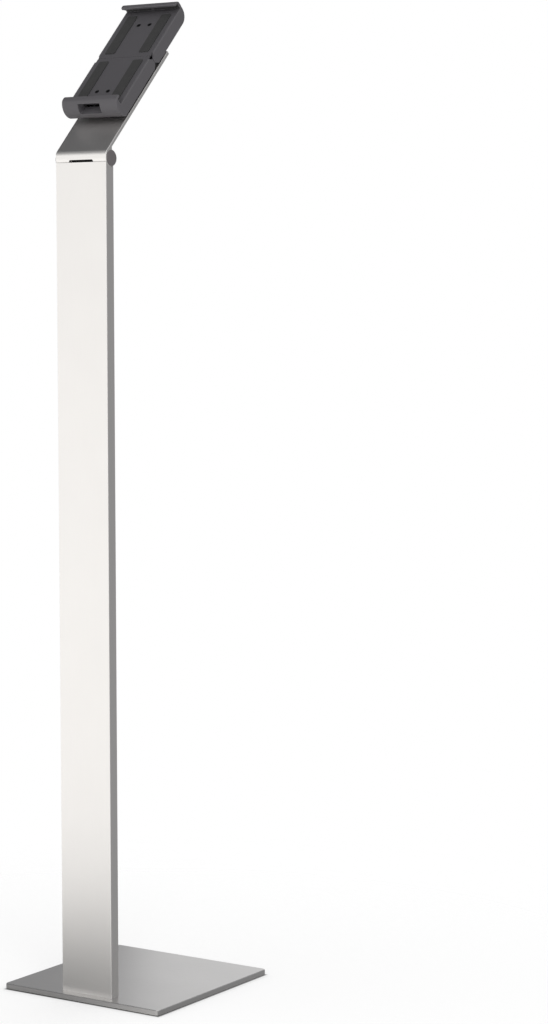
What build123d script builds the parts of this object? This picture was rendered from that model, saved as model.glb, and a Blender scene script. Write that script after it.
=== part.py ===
from build123d import *
import os
from math import cos, radians, sin, sqrt

# Tablet floor stand: a steel base plate, an extruded column, an arm that tilts on a
# barrel hinge, and a sprung two-jaw holder that turns on the arm. Millimetres, +Z up,
# origin on the floor under the centre of the base plate, front towards -Y.

# Base plate and feet
PLATE_SIDE = 230.0
PLATE_THICK = 6.0
PLATE_CORNER = 5.0
PLATE_EDGE = 0.6
FOOT_HEIGHT = 1.2
FOOT_RADIUS = 11.0
FOOT_SPREAD = 95.0

# Column extrusion
COLUMN_WIDTH = 74.0
COLUMN_DEPTH = 14.6
COLUMN_SETBACK = 13.9
COLUMN_CORNER = 1.4
COLUMN_WALL = 1.8
CAVITY_CORNER = 0.6
WEB_THICK = 1.5
DUCT_WIDTH = 13.0
SLIT_WIDTH = 2.4
PORT_X = 22.0
SIDE_PORT_X = 32.2
PORT_BOSS = 3.9
PORT_RADIUS = 1.95
FRONT_SEAM_Z = 996.3
POCKET_FLOOR_Z = 978.0

# Cable mouths and lock slot in the column's back
TOP_MOUTH_WIDTH = 6.6
TOP_MOUTH_LOW = 970.7
FOOT_MOUTH_WIDTH = 5.6
FOOT_MOUTH_HIGH = 30.0
MOUTH_CORNER = 1.2
LOCK_LENGTH = 7.0
LOCK_HEIGHT = 3.0
LOCK_CORNER = 0.4
LOCK_X = -12.0
LOCK_Z = 17.3

# Barrel hinge between column and arm
HINGE_Z = 1000.7
TILT = 45.0
BARREL_RADIUS = 10.05
SEAT_CLEARANCE = 0.3
NOTCH_HALF = 17.5
NOTCH_TOP = -1.3
NOTCH_CORNER = 2.0
NOTCH_FRONT_DEPTH = 4.2
NOTCH_ANGLES = (200, 235, 283, 331, 372)
NOTCH_REACH = 15.0
NOTCH_BORE = 6.5
EYE_RADIUS = 5.0
SHAFT_RADIUS = 3.0
SHAFT_HALF = 34.5
SHAFT_EDGE = 0.5
RUNNING_GAP = 0.05
PRESS = 0.02
BUSH_RADIUS = 4.0
BUSH_END = 25.0
FLANGE_RADIUS = 5.4
FLANGE_THICK = 0.5
STACK_RADIUS = 7.0
WASHER_THICK = 1.0
NUT_RADIUS = 5.0
NUT_HEIGHT = 4.6
NUT_BITE = 0.05
CAP_RADIUS = 9.25
CAP_DEPTH = 1.5
CAP_PROUD = 1.2
CAP_EDGE = 0.7
CAP_DISH = 0.8
CAP_COLLAR = 2.2
CAP_BORE = 6.0

# Disc springs of the hinge, one mirrored pair at each end
SPRING_RIM = 6.2
SPRING_BORE = 3.15
SPRING_THICK = 0.5
SPRING_RISE = 0.55
SPRING_FOLD = 3.9

# Hinge block in the column's top, its tongue, and the cable grommet behind it
BLOCK_HEIGHT = 16.0
BLOCK_PLAY = 0.3
BLOCK_SEAT = 0.25
BLOCK_HOLE = 2.35
BLOCK_HEAD_HOLE = 3.8
SCREW_SEAT_Z = 986.6
TONGUE_FRONT = -3.6
TONGUE_THICK = 3.2
TONGUE_LENGTH = 13.0
TONGUE_PLAY = 0.6
GROOVE_WIDTH = 7.0
CABLE_DEPTH = 2.6
GROMMET_HALF = 16.7
GROMMET_RADIUS = 10.2
GROMMET_TOP = -3.9
GROMMET_DEPTH = 4.5
GROMMET_EYE_GAP = 0.35
STEM_LOW = 988.5
STEM_HIGH = 995.0

# Arm plate
ARM_BACK = 8.0
ARM_FRONT = 12.3
ARM_LENGTH = 174.0
BEND_RADIUS = 8.0
ARM_CORNER = 1.5
ARM_EDGE = 0.5
ROOT_LAND = 10.5
ROOT_RUN = 2.5

# Swivel between arm and holder
SWIVEL_S = 140.6
SWIVEL_DISC_RADIUS = 35.4
SWIVEL_DISC_EDGE = 1.2
SWIVEL_HUB_RADIUS = 13.0
SWIVEL_POCKET_RADIUS = 19.4
SWIVEL_POCKET_FLOOR = 10.8
SWIVEL_CAP_THICK = 0.8
SWIVEL_CAP_PLAY = 0.15
GLIDE_INNER = 14.0
GLIDE_OUTER = 30.0
WAVE_INNER = 13.4
WAVE_OUTER = 17.2
RETAINER_RADIUS = 17.5
RETAINER_BACK = 9.0
RETAINER_FRONT = 10.3
RETAINER_PITCH = 8.5
DISC_BACK = 12.95
DISC_FRONT = 20.0
FACE_GAP = 0.1
DISC_SCREW_SPREAD = 22.0

# Holder housings, measured along the arm (s) and out of its front face (w)
HOLDER_HALF = 40.4
HOLDER_WALL = 2.2
HOLDER_BACK = 17.0
COVER_FACE = 33.5
COVER_THICK = 2.0
COVER_PLAY = 0.3
COVER_CORNER = 1.0
COVER_END_GAP = 0.2
LIP_BACK = 41.2
LIP_FRONT = 44.4
JAW_BOTTOM = 46.5
JAW_MIDDLE = 30.2
JAW_ROUND = 17.0
JAW_FLOOR = 55.2
HOLLOW_LOW = 59.6
LOWER_LIP_TOP = 60.5
UPPER_LIP_EDGE = 219.8
HOLLOW_HIGH = 221.4
JAW_CEILING = 226.2
JAW_TOP = 229.4
HEEL_RADIUS = 3.0
TOE_RADIUS = 5.0
TOP_BACK_RADIUS = 13.0
TOP_FRONT_RADIUS = 6.0
PARTING = 140.6
PARTING_GAP = 0.4
DISC_OPENING = 36.0
VEE_DEPTH = 6.0
VEE_HALF = 6.5
LIP_CORNER = 2.4
END_EDGE = 0.7
WINDOW_WIDTH = 32.0
WINDOW_CENTRE = -1.0
WINDOW_BACK = 28.6
WINDOW_FRONT = 41.0
WINDOW_CORNER = 1.0
DIP_LEFT = -7.8
DIP_RIGHT = 6.2
DIP_SLOPE = 1.6
DIP_DEPTH = 1.4

# Clamp mechanism between the housings
CARRIER_HALF = 33.0
CARRIER_THICK = 2.0
CARRIER_GAP = 0.05
CARRIER_LOW = 62.0
CARRIER_HIGH = 172.0
CARRIER_CORNER = 4.0
CARRIER_WINDOW = (26.0, 30.0, 5.0)
CARRIER_WINDOW_S = 84.0
BOSS_RADIUS = 3.2
BOSS_X = 27.0
COVER_SCREW_X = 8.0
LOWER_BOSS_S = 80.0
ANCHOR_WIDTH = 58.0
ANCHOR_LOW = 190.0
ANCHOR_HIGH = 208.0
ROD_X = 20.0
ROD_RADIUS = 2.5
ROD_W = 26.6
ROD_LOW = 62.0
ROD_HIGH = 212.0
GUIDE_WIDTH = 61.0
GUIDE_CORNER = 2.0
GUIDE_LOW = 121.0
GUIDE_HIGH = 136.0
GUIDE_SEAT = 3.0
GUIDE_HEAD_HOLE = 3.0
COLLAR_RADIUS = 4.0
COLLAR_LOW = 63.0
COLLAR_TOP = 66.0
SPRING_OUTER = 4.0
SPRING_INNER = 3.2

# Rubber pads
PAD_THICK = 0.8
LIP_PAD_THICK = 0.6
PAD_X = 25.0
PAD_WIDTH = 14.0
PAD_CORNER = 2.0
SEAT_PAD_BACK = 34.6
SEAT_PAD_FRONT = 40.4
PAD_MARGIN = 1.0
LIP_PAD_MARGIN = 4.0
LIP_PAD_GAP = 0.3
LOWER_PAD = (64.0, 134.0)
UPPER_PAD = (148.0, 216.0)
LOWER_LIP_PAD_TOP = 59.0
UPPER_LIP_PAD_LOW = 220.4
LOWER_SEAT_CLEAR = 17.0
UPPER_SEAT_CLEAR = 2.0

# Screws: shank radius, length, head radius, head height, socket width
COLUMN_SCREW = (2.1, 30.0, 4.0, 1.9, 2.5)
BLOCK_SCREW = (2.1, 20.0, 3.5, 3.0, 3.0)
RETAINER_SCREW = (1.5, 8.0, 2.7, 1.2, 1.8)
DISC_SCREW = (2.0, 6.5, 3.8, 1.8, 2.5)
CARRIER_SCREW = (1.5, 4.4, 2.8, 1.8, 2.0)
GUIDE_SCREW = (1.5, 4.8, 2.8, 2.2, 2.0)
COVER_SCREW = (1.5, 8.0, 2.8, 1.3, 2.0)

# Screw holes: bore radius, and countersink radius at the face where there is one
PLATE_HOLE = (2.35, 4.15)
RETAINER_HOLE = (1.6, 2.8)
DISC_HOLE = (2.2, 3.9)
COVER_HOLE = (1.6, 2.9)
CLEAR_HOLE = 1.7
SMALL_TAP = 1.4
DISC_TAP = 1.9
TAP_DEPTH = 8.0
SINK_ANGLE = 90

DISC_TAP_DEPTH = 5.5
CARRIER_SCREW_ROWS = (70.0, 98.0)
SINK_SOCKET = 0.8
CAP_SOCKET = 0.6

# Overshoot of cutters past the faces they open, and the tolerance for finding an edge
OVER = 1.0
NEAR = 0.1

# Places that follow from the sizes above
plate_top = FOOT_HEIGHT + PLATE_THICK
column_front = -PLATE_SIDE / 2 + COLUMN_SETBACK
column_back = column_front + COLUMN_DEPTH
column_y = (column_front + column_back) / 2
inner_width = COLUMN_WIDTH - 2 * COLUMN_WALL
inner_depth = COLUMN_DEPTH - 2 * COLUMN_WALL
half_width = COLUMN_WIDTH / 2
inner_half = HOLDER_HALF - HOLDER_WALL
hinge_y = column_front + BARREL_RADIUS
seat_radius = BARREL_RADIUS + SEAT_CLEARANCE
lean = radians(TILT)
hinge_centre = Vector(0, hinge_y, HINGE_Z)
along_arm = Vector(0, sin(lean), cos(lean))
out_of_arm = Vector(0, -cos(lean), sin(lean))
arm_axis = Axis(hinge_centre, along_arm)
face_axis = Axis(hinge_centre, out_of_arm)
shaft_axis = Axis(hinge_centre, (1, 0, 0))
shaft_plane = Plane(origin=hinge_centre, x_dir=(1, 0, 0), z_dir=(0, -1, 0))
carrier_back = DISC_FRONT + CARRIER_GAP
carrier_front = carrier_back + CARRIER_THICK
inner_back = HOLDER_BACK + HOLDER_WALL
cover_back = COVER_FACE - COVER_THICK


def hinge_section(x=0.0):
    """Cross-section plane through the hinge: local x is +Y, local y is +Z."""
    return Plane(origin=hinge_centre + Vector(x, 0, 0), x_dir=(0, 1, 0), z_dir=(1, 0, 0))


def side_section(x=0.0):
    """Cross-section plane of arm and holder: local x is s, local y is w."""
    return Plane(origin=hinge_centre + Vector(x, 0, 0), x_dir=along_arm, z_dir=(1, 0, 0))


def face_plane(w):
    """Plane parallel to the arm's face: local x is +X, local y is s, outwards is +w."""
    return Plane(origin=hinge_centre + out_of_arm * w, x_dir=(1, 0, 0), z_dir=out_of_arm)


def end_plane(s):
    """Plane square to the arm at s: local x is +X, outwards is up the arm."""
    return Plane(origin=hinge_centre + along_arm * s, x_dir=(1, 0, 0), z_dir=along_arm)


def turned(profile):
    """Solid of revolution about +Z from (radius, height) points."""
    with BuildPart() as solid:
        with BuildSketch(Plane.XZ):
            with BuildLine():
                Polyline(*profile, close=True)
            make_face()
        revolve(axis=Axis.Z)
    return solid.part


def socket_cut(solid, width, top, depth):
    """Hexagon socket sunk into the head of a turned fastener."""
    with BuildPart() as socketed:
        add(solid)
        with BuildSketch(Plane.XY.offset(top)):
            RegularPolygon(width / 2, 6, major_radius=False)
        extrude(amount=-depth, mode=Mode.SUBTRACT)
    return socketed.part


def countersunk_screw(shank, length, head, head_height, socket):
    """Countersunk screw, head face at z = 0 and the point down."""
    profile = [(0, 0), (head, 0), (shank, -head_height), (shank, -length), (0, -length)]
    return socket_cut(turned(profile), socket, 0, head_height * SINK_SOCKET)


def cap_screw(shank, length, head, head_height, socket):
    """Cylinder-head screw, bearing face at z = 0 and the point down."""
    profile = [(0, head_height), (head, head_height), (head, 0), (shank, 0), (shank, -length), (0, -length)]
    return socket_cut(turned(profile), socket, head_height, head_height * CAP_SOCKET)


def put(solid, plane, *places):
    """The same solid stood on a plane at each local (x, y) place, as one group."""
    with BuildPart() as group:
        with Locations(*[plane * Location((x, y, 0)) for x, y in places]):
            add(solid)
    return group.part


def hand_in(name, part):
    """Label a finished piece and write its file."""
    part.label = name
    export_step(part, f"parts/{name}.step")


os.makedirs("parts", exist_ok=True)

# Base plate, drilled from below for the column screws
column_screw_places = [(x, column_y) for x in (-SIDE_PORT_X, -PORT_X, PORT_X, SIDE_PORT_X)]
plate_underside = Plane(origin=(0, 0, FOOT_HEIGHT), x_dir=(1, 0, 0), z_dir=(0, 0, -1))
with BuildPart() as base_plate:
    with BuildSketch(Plane.XY.offset(FOOT_HEIGHT)):
        RectangleRounded(PLATE_SIDE, PLATE_SIDE, PLATE_CORNER)
    extrude(amount=PLATE_THICK)
    chamfer(base_plate.faces().sort_by(Axis.Z)[-1].edges(), PLATE_EDGE)
    with Locations(*[plate_underside * Location((x, -y, 0)) for x, y in column_screw_places]):
        CounterSinkHole(*PLATE_HOLE, PLATE_THICK, SINK_ANGLE)
hand_in("base_plate", base_plate.part)

# Four rubber pads under the plate
with BuildPart() as base_feet:
    with BuildSketch(Plane.XY):
        with GridLocations(2 * FOOT_SPREAD, 2 * FOOT_SPREAD, 2, 2):
            Circle(FOOT_RADIUS)
    extrude(amount=FOOT_HEIGHT)
hand_in("base_feet", base_feet.part)

# Screws through the plate into the column's screw ports
column_screws = put(
    countersunk_screw(*COLUMN_SCREW), plate_underside, *[(x, -y) for x, y in column_screw_places]
)
hand_in("column_screws", column_screws)

# Column: box extrusion with a cable duct, webs and round screw ports
with BuildPart() as column:
    with BuildSketch(Plane.XY.offset(plate_top)):
        with Locations((0, column_y)):
            RectangleRounded(COLUMN_WIDTH, COLUMN_DEPTH, COLUMN_CORNER)
            RectangleRounded(inner_width, inner_depth, CAVITY_CORNER, mode=Mode.SUBTRACT)
            web_x = (DUCT_WIDTH + WEB_THICK) / 2
            with Locations((-web_x, 0), (web_x, 0), (-PORT_X, 0), (PORT_X, 0)):
                Rectangle(WEB_THICK, inner_depth + COLUMN_WALL)
            with Locations(*[(x, 0) for x in (-SIDE_PORT_X, -PORT_X, PORT_X, SIDE_PORT_X)]):
                Circle(PORT_BOSS)
                Circle(PORT_RADIUS, mode=Mode.SUBTRACT)
        with Locations((0, column_back)):
            Rectangle(SLIT_WIDTH, 2 * COLUMN_WALL + OVER, mode=Mode.SUBTRACT)
    extrude(amount=FRONT_SEAM_Z - plate_top)
    # room for the hinge block between the outer walls
    with BuildSketch(Plane.XY.offset(POCKET_FLOOR_Z)):
        with Locations((0, column_y)):
            RectangleRounded(inner_width, inner_depth, CAVITY_CORNER)
    extrude(amount=FRONT_SEAM_Z - POCKET_FLOOR_Z, mode=Mode.SUBTRACT)
    # hollow seat round the arm's barrel
    with BuildSketch(hinge_section(-half_width - OVER)):
        Circle(seat_radius)
    extrude(amount=COLUMN_WIDTH + 2 * OVER, mode=Mode.SUBTRACT)
    # cable mouths at the duct's two ends and the lock slot
    with BuildSketch(Plane.XZ.offset(-column_back)):
        with Locations((0, (TOP_MOUTH_LOW + HINGE_Z) / 2)):
            RectangleRounded(TOP_MOUTH_WIDTH, HINGE_Z - TOP_MOUTH_LOW, MOUTH_CORNER)
        with Locations((0, FOOT_MOUTH_HIGH / 2)):
            RectangleRounded(FOOT_MOUTH_WIDTH, FOOT_MOUTH_HIGH, MOUTH_CORNER)
        with Locations((LOCK_X, LOCK_Z)):
            RectangleRounded(LOCK_LENGTH, LOCK_HEIGHT, LOCK_CORNER)
    extrude(amount=COLUMN_WALL + OVER, mode=Mode.SUBTRACT)
hand_in("column", column.part)

# Hinge block: casting in the column's top with a tongue that ends in the hinge eye
block_screw_places = [(-PORT_X, column_y), (PORT_X, column_y)]
tongue_half = NOTCH_HALF - TONGUE_PLAY
block_back = column_y + (inner_depth - BLOCK_PLAY) / 2
with BuildPart() as hinge_block:
    with BuildSketch(Plane.XY.offset(POCKET_FLOOR_Z)):
        with Locations((0, column_y)):
            RectangleRounded(inner_width - BLOCK_PLAY, inner_depth - BLOCK_PLAY, CAVITY_CORNER)
        # groove for the cable, from the duct past the block to the mouth
        with Locations((0, block_back - CABLE_DEPTH / 2)):
            Rectangle(GROOVE_WIDTH, CABLE_DEPTH, mode=Mode.SUBTRACT)
    extrude(amount=BLOCK_HEIGHT)
    with BuildSketch(hinge_section(-half_width)):
        Circle(seat_radius + BLOCK_SEAT)
    extrude(amount=COLUMN_WIDTH, mode=Mode.SUBTRACT)
    with BuildSketch(hinge_section(-tongue_half)):
        with Locations((TONGUE_FRONT + TONGUE_THICK / 2, -TONGUE_LENGTH / 2)):
            Rectangle(TONGUE_THICK, TONGUE_LENGTH)
        Circle(EYE_RADIUS)
    extrude(amount=2 * tongue_half)
    with BuildSketch(hinge_section(-tongue_half)):
        Circle(SHAFT_RADIUS - PRESS)
    extrude(amount=2 * tongue_half, mode=Mode.SUBTRACT)
    for radius, bottom in ((BLOCK_HOLE, POCKET_FLOOR_Z), (BLOCK_HEAD_HOLE, SCREW_SEAT_Z)):
        with BuildSketch(Plane.XY.offset(bottom)):
            with Locations(*block_screw_places):
                Circle(radius)
        extrude(amount=BLOCK_HEIGHT, mode=Mode.SUBTRACT)
hand_in("hinge_block", hinge_block.part)

# Screws that hold the block down in the two middle screw ports
hand_in("block_screws", put(cap_screw(*BLOCK_SCREW), Plane.XY.offset(SCREW_SEAT_Z), *block_screw_places))

# Cable grommet: a bar behind the tongue, slotted for the cable, on a stem in the mouth
with BuildPart() as cable_grommet:
    with BuildSketch(hinge_section(-GROMMET_HALF)):
        Circle(GROMMET_RADIUS)
        Circle(EYE_RADIUS + GROMMET_EYE_GAP, mode=Mode.SUBTRACT)
        bar_height = GROMMET_TOP + seat_radius
        with Locations((GROMMET_DEPTH / 2, GROMMET_TOP - bar_height / 2)):
            Rectangle(GROMMET_DEPTH, bar_height, mode=Mode.INTERSECT)
    extrude(amount=2 * GROMMET_HALF)
    with BuildSketch(Plane.XZ.offset(-hinge_y - GROMMET_DEPTH)):
        with Locations((0, (STEM_LOW + STEM_HIGH) / 2)):
            Rectangle(TOP_MOUTH_WIDTH + 2 * PRESS, STEM_HIGH - STEM_LOW)
    extrude(amount=hinge_y + GROMMET_DEPTH - (column_back - COLUMN_WALL))
    with BuildSketch(Plane.XY.offset(HINGE_Z - seat_radius)):
        with Locations((0, hinge_y + CABLE_DEPTH / 2)):
            Rectangle(TOP_MOUTH_WIDTH, CABLE_DEPTH)
    extrude(amount=bar_height + OVER, mode=Mode.SUBTRACT)
hand_in("cable_grommet", cable_grommet.part)

# Hinge shaft, fixed in the eye
with BuildPart() as hinge_shaft:
    with BuildSketch(hinge_section(-SHAFT_HALF)):
        Circle(SHAFT_RADIUS)
    extrude(amount=2 * SHAFT_HALF)
    chamfer(hinge_shaft.edges().filter_by(GeomType.CIRCLE), SHAFT_EDGE)
hand_in("hinge_shaft", hinge_shaft.part)


def ring_pair(inner, outer, near, far):
    """Two equal rings on the hinge shaft, one at each end of the barrel."""
    with BuildPart() as rings:
        for start in (near, -far):
            with BuildSketch(hinge_section(start)):
                Circle(outer)
                Circle(inner, mode=Mode.SUBTRACT)
            extrude(amount=far - near)
    return rings.part


# Friction stack: keyed washers turn with the arm, disc springs and nuts stay on the shaft
washer_end = BUSH_END + WASHER_THICK
hand_in("friction_washers", ring_pair(SHAFT_RADIUS + FACE_GAP, STACK_RADIUS - FACE_GAP, BUSH_END, washer_end))

spring_start = washer_end + FACE_GAP
spring_end = spring_start + 2 * SPRING_RISE + SPRING_THICK
with BuildPart() as disc_springs:
    for side in (-1, 1):
        with BuildSketch(shaft_plane):
            with BuildLine():
                near = side * spring_start
                mid = side * (spring_start + SPRING_RISE)
                far = side * spring_end
                centre = side * (spring_start + SPRING_RISE + SPRING_THICK)
                Polyline(
                    (near, SPRING_RIM), (mid, SPRING_BORE), (centre, SPRING_BORE), (far, SPRING_RIM),
                    (far - side * SPRING_THICK, SPRING_RIM), (centre - side * SPRING_THICK / 2, SPRING_FOLD),
                    (near + side * SPRING_THICK, SPRING_RIM), close=True,
                )
            make_face()
        revolve(axis=shaft_axis)
hand_in("disc_springs", disc_springs.part)

nut_start = spring_end + FACE_GAP
with BuildPart() as hinge_nuts:
    for start in (nut_start, -nut_start - NUT_HEIGHT):
        with BuildSketch(hinge_section(start)):
            RegularPolygon(NUT_RADIUS, 6, major_radius=False)
            Circle(SHAFT_RADIUS - NUT_BITE, mode=Mode.SUBTRACT)
        extrude(amount=NUT_HEIGHT)
hand_in("hinge_nuts", hinge_nuts.part)

# Arm: one extrusion, a flat plate that bends into the hinge barrel
tangent_point = (-BARREL_RADIUS * sin(lean), BARREL_RADIUS * cos(lean))
bend_corner = ((ARM_FRONT * cos(lean) - BARREL_RADIUS) / sin(lean), ARM_FRONT)
with BuildPart() as arm:
    with BuildSketch(side_section(-half_width)) as arm_profile:
        with BuildLine():
            Polyline(
                (0, 0), tangent_point, bend_corner, (ARM_LENGTH, ARM_FRONT), (ARM_LENGTH, ARM_BACK),
                (ROOT_LAND, ARM_BACK), (ROOT_LAND - ROOT_RUN, ARM_BACK - ROOT_RUN), close=True,
            )
        make_face()
        fillet(arm_profile.vertices().group_by(Axis.Y)[-1].sort_by(Axis.X)[0], BEND_RADIUS)
        Circle(BARREL_RADIUS)
    extrude(amount=COLUMN_WIDTH)
    fillet(arm.faces().sort_by(arm_axis)[-1].edges().filter_by(face_axis), ARM_CORNER)
    arm_ends = arm.faces().sort_by(Axis.X)
    chamfer([*arm_ends[0].edges(), *arm_ends[-1].edges()], ARM_EDGE)
    # notch for the tongue: an opening with round corners in front, a sector behind it
    with BuildSketch(Plane.XZ.offset(BARREL_RADIUS - hinge_y)):
        with Locations((0, HINGE_Z + NOTCH_TOP - NOTCH_REACH / 2)):
            RectangleRounded(2 * NOTCH_HALF, NOTCH_REACH, NOTCH_CORNER)
    extrude(amount=-NOTCH_FRONT_DEPTH, mode=Mode.SUBTRACT)
    with BuildSketch(hinge_section(-NOTCH_HALF)):
        with BuildLine():
            rim = [
                (NOTCH_REACH * cos(radians(a)), NOTCH_REACH * sin(radians(a))) for a in NOTCH_ANGLES
            ]
            Polyline((0, 0), *rim, close=True)
        make_face()
        Circle(NOTCH_BORE)
    extrude(amount=2 * NOTCH_HALF, mode=Mode.SUBTRACT)
    # bores in the barrel for the bushes, the friction stack and the end caps
    for near, far, radius in (
        (0, half_width, BUSH_RADIUS),
        (BUSH_END, half_width, STACK_RADIUS),
        (half_width - CAP_DEPTH, half_width, CAP_RADIUS + RUNNING_GAP),
    ):
        for start in (near, -far):
            with BuildSketch(hinge_section(start)):
                Circle(radius)
            extrude(amount=far - near, mode=Mode.SUBTRACT)
    # swivel pocket from the back and hole right through
    for radius, top in (
        (SWIVEL_POCKET_RADIUS, SWIVEL_POCKET_FLOOR), (SWIVEL_HUB_RADIUS + RUNNING_GAP, ARM_FRONT)
    ):
        with BuildSketch(face_plane(ARM_BACK)):
            with Locations((0, SWIVEL_S)):
                Circle(radius)
        extrude(amount=top - ARM_BACK, mode=Mode.SUBTRACT)
hand_in("arm", arm.part)

# Flanged bushes between barrel and shaft
with BuildPart() as arm_bushes:
    for side in (-1, 1):
        with BuildSketch(shaft_plane):
            with BuildLine():
                inner = SHAFT_RADIUS + RUNNING_GAP
                Polyline(
                    (side * (NOTCH_HALF - FLANGE_THICK), inner), (side * BUSH_END, inner),
                    (side * BUSH_END, BUSH_RADIUS), (side * NOTCH_HALF, BUSH_RADIUS),
                    (side * NOTCH_HALF, FLANGE_RADIUS), (side * (NOTCH_HALF - FLANGE_THICK), FLANGE_RADIUS),
                    close=True,
                )
            make_face()
        revolve(axis=shaft_axis)
hand_in("arm_bushes", arm_bushes.part)


def hinge_cap(side):
    """Moulded disc that closes one end of the barrel, with a hollow push-in collar."""
    floor = half_width - CAP_DEPTH
    face = half_width + CAP_PROUD
    collar = STACK_RADIUS - PRESS
    with BuildPart() as cap:
        with BuildSketch(shaft_plane):
            with BuildLine():
                Polyline(
                    (side * (face - CAP_DISH), 0), (side * face, 0), (side * face, CAP_RADIUS - CAP_EDGE),
                    (side * (face - CAP_EDGE), CAP_RADIUS), (side * floor, CAP_RADIUS),
                    (side * floor, collar), (side * (floor - CAP_COLLAR), collar),
                    (side * (floor - CAP_COLLAR), CAP_BORE), (side * (face - CAP_DISH), CAP_BORE), close=True,
                )
            make_face()
        revolve(axis=shaft_axis)
    return cap.part


hand_in("left_hinge_cap", hinge_cap(-1))
hand_in("right_hinge_cap", hinge_cap(1))


def swivel_ring(inner, outer, low, high):
    """Flat ring about the swivel axis between two heights w, a full disc where inner is 0."""
    with BuildPart() as ring:
        with BuildSketch(face_plane(low)):
            with Locations((0, SWIVEL_S)):
                Circle(outer)
                if inner > 0:
                    Circle(inner, mode=Mode.SUBTRACT)
        extrude(amount=high - low)
    return ring.part


# Swivel: cover, retaining disc and wave washer in the arm's back, bearing disc in front
swivel_cap = swivel_ring(0, SWIVEL_POCKET_RADIUS - SWIVEL_CAP_PLAY, ARM_BACK, ARM_BACK + SWIVEL_CAP_THICK)
hand_in("swivel_cap", swivel_cap)
hand_in("glide_ring", swivel_ring(GLIDE_INNER, GLIDE_OUTER, ARM_FRONT, DISC_BACK - FACE_GAP))
wave_washer = swivel_ring(WAVE_INNER, WAVE_OUTER, RETAINER_FRONT, SWIVEL_POCKET_FLOOR - FACE_GAP)
hand_in("wave_washer", wave_washer)

retainer_holes = [
    (RETAINER_PITCH * cos(radians(a)), SWIVEL_S + RETAINER_PITCH * sin(radians(a))) for a in (90, 210, 330)
]
retainer_plane = Plane(
    origin=hinge_centre + out_of_arm * RETAINER_BACK, x_dir=(-1, 0, 0), z_dir=-out_of_arm
)
with BuildPart() as retaining_disc:
    add(swivel_ring(0, RETAINER_RADIUS, RETAINER_BACK, RETAINER_FRONT))
    with Locations(*[retainer_plane * Location((-x, s, 0)) for x, s in retainer_holes]):
        CounterSinkHole(*RETAINER_HOLE, 2 * CARRIER_THICK, SINK_ANGLE)
hand_in("retaining_disc", retaining_disc.part)

retainer_screws = put(
    countersunk_screw(*RETAINER_SCREW), retainer_plane, *[(-x, s) for x, s in retainer_holes]
)
hand_in("retainer_screws", retainer_screws)

disc_screw_places = [
    (x, SWIVEL_S + s)
    for x in (-DISC_SCREW_SPREAD, DISC_SCREW_SPREAD) for s in (-DISC_SCREW_SPREAD, DISC_SCREW_SPREAD)
]
with BuildPart() as swivel_disc:
    add(swivel_ring(0, SWIVEL_DISC_RADIUS, DISC_BACK, DISC_FRONT))
    chamfer(swivel_disc.faces().sort_by(face_axis)[0].edges(), SWIVEL_DISC_EDGE)
    add(swivel_ring(0, SWIVEL_HUB_RADIUS, RETAINER_FRONT, DISC_BACK))
    for places, radius, bottom in (
        (retainer_holes, SMALL_TAP, RETAINER_FRONT - OVER),
        (disc_screw_places, DISC_TAP, DISC_FRONT - DISC_TAP_DEPTH),
    ):
        with BuildSketch(face_plane(bottom)):
            with Locations(*places):
                Circle(radius)
        extrude(amount=TAP_DEPTH, mode=Mode.SUBTRACT)
hand_in("swivel_disc", swivel_disc.part)

# Carrier plate: steel chassis screwed to the bearing disc
carrier_screw_places = [(x, s) for x in (-BOSS_X, BOSS_X) for s in CARRIER_SCREW_ROWS]
guide_middle = (GUIDE_LOW + GUIDE_HIGH) / 2
guide_screw_places = [(-COVER_SCREW_X, guide_middle), (COVER_SCREW_X, guide_middle)]
guide_boss_places = [(-BOSS_X, guide_middle), (BOSS_X, guide_middle)]
with BuildPart() as carrier_plate:
    with BuildSketch(face_plane(carrier_back)):
        with Locations((0, (CARRIER_LOW + CARRIER_HIGH) / 2)):
            RectangleRounded(2 * CARRIER_HALF, CARRIER_HIGH - CARRIER_LOW, CARRIER_CORNER)
        with Locations(*carrier_screw_places):
            Circle(CLEAR_HOLE, mode=Mode.SUBTRACT)
        with Locations(*guide_screw_places):
            Circle(SMALL_TAP, mode=Mode.SUBTRACT)
        with Locations((0, CARRIER_WINDOW_S)):
            RectangleRounded(*CARRIER_WINDOW, mode=Mode.SUBTRACT)
    extrude(amount=CARRIER_THICK)
    with Locations(*[face_plane(carrier_front) * Location((x, s, 0)) for x, s in disc_screw_places]):
        CounterSinkHole(*DISC_HOLE, 2 * CARRIER_THICK, SINK_ANGLE)
hand_in("carrier_plate", carrier_plate.part)

carrier_face = face_plane(carrier_front)
hand_in("disc_screws", put(countersunk_screw(*DISC_SCREW), carrier_face, *disc_screw_places))
hand_in("carrier_screws", put(cap_screw(*CARRIER_SCREW), carrier_face, *carrier_screw_places))


def s_of(edge):
    """Place of an edge's middle along the arm."""
    return (edge.center() - hinge_centre).dot(along_arm)


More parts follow.
